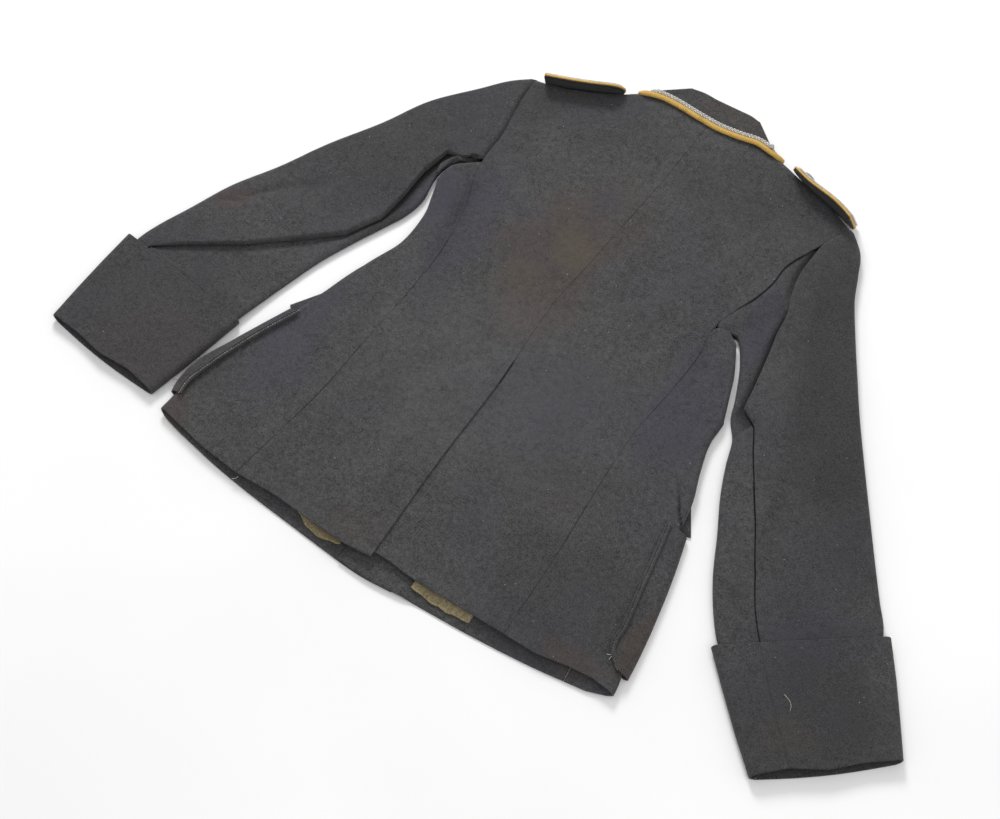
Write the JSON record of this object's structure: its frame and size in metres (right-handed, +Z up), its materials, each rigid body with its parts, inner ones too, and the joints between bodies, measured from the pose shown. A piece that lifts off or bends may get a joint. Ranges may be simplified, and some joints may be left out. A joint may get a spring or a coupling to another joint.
{
  "type": "officer's uniform tunic",
  "caption": "Wool officer's tunic laid face down and flat, sleeves spread, with deep cuffs, shoulder straps, side pockets and a corded collar",
  "frame": {"origin": "middle of the footprint, on the surface the tunic rests on", "axes": "+X to the wearer's right, +Y from the hem to the collar, +Z up from the surface; the back is on top"},
  "size_m": [1.0474, 0.7512, 0.0369],
  "materials": {
    "wool": "matte blue-grey twill",
    "lining": "olive satin",
    "piping": "golden yellow wool",
    "silver": "silver metal thread",
    "button": "grained grey metal"
  },
  "bodies": {
    "root": {"back_left": "wool", "back_right": "wool", "button_1": "button", "button_2": "button", "button_3": "button", "button_4": "button", "collar": "wool", "collar_cord": "silver", "collar_leaf_left": "wool", "collar_leaf_right": "wool", "collar_piping": "piping", "cuff_left": "wool", "cuff_right": "wool", "front_left": "wool", "front_right": "wool", "lapel_left": "wool", "lapel_right": "wool", "lining_left": "lining", "lining_right": "lining", "pocket_left": "wool", "pocket_left_bellows": "wool", "pocket_left_flap": "wool", "pocket_right": "wool", "pocket_right_bellows": "wool", "pocket_right_flap": "wool", "side_left": "wool", "side_right": "wool", "sleeve_left_top": "wool", "sleeve_left_under": "wool", "sleeve_right_top": "wool", "sleeve_right_under": "wool", "strap_left_base": "wool", "strap_left_braid": "silver", "strap_left_button": "button", "strap_left_piping": "piping", "strap_right_base": "wool", "strap_right_braid": "silver", "strap_right_button": "button", "strap_right_piping": "piping"}
  },
  "joints": []
}
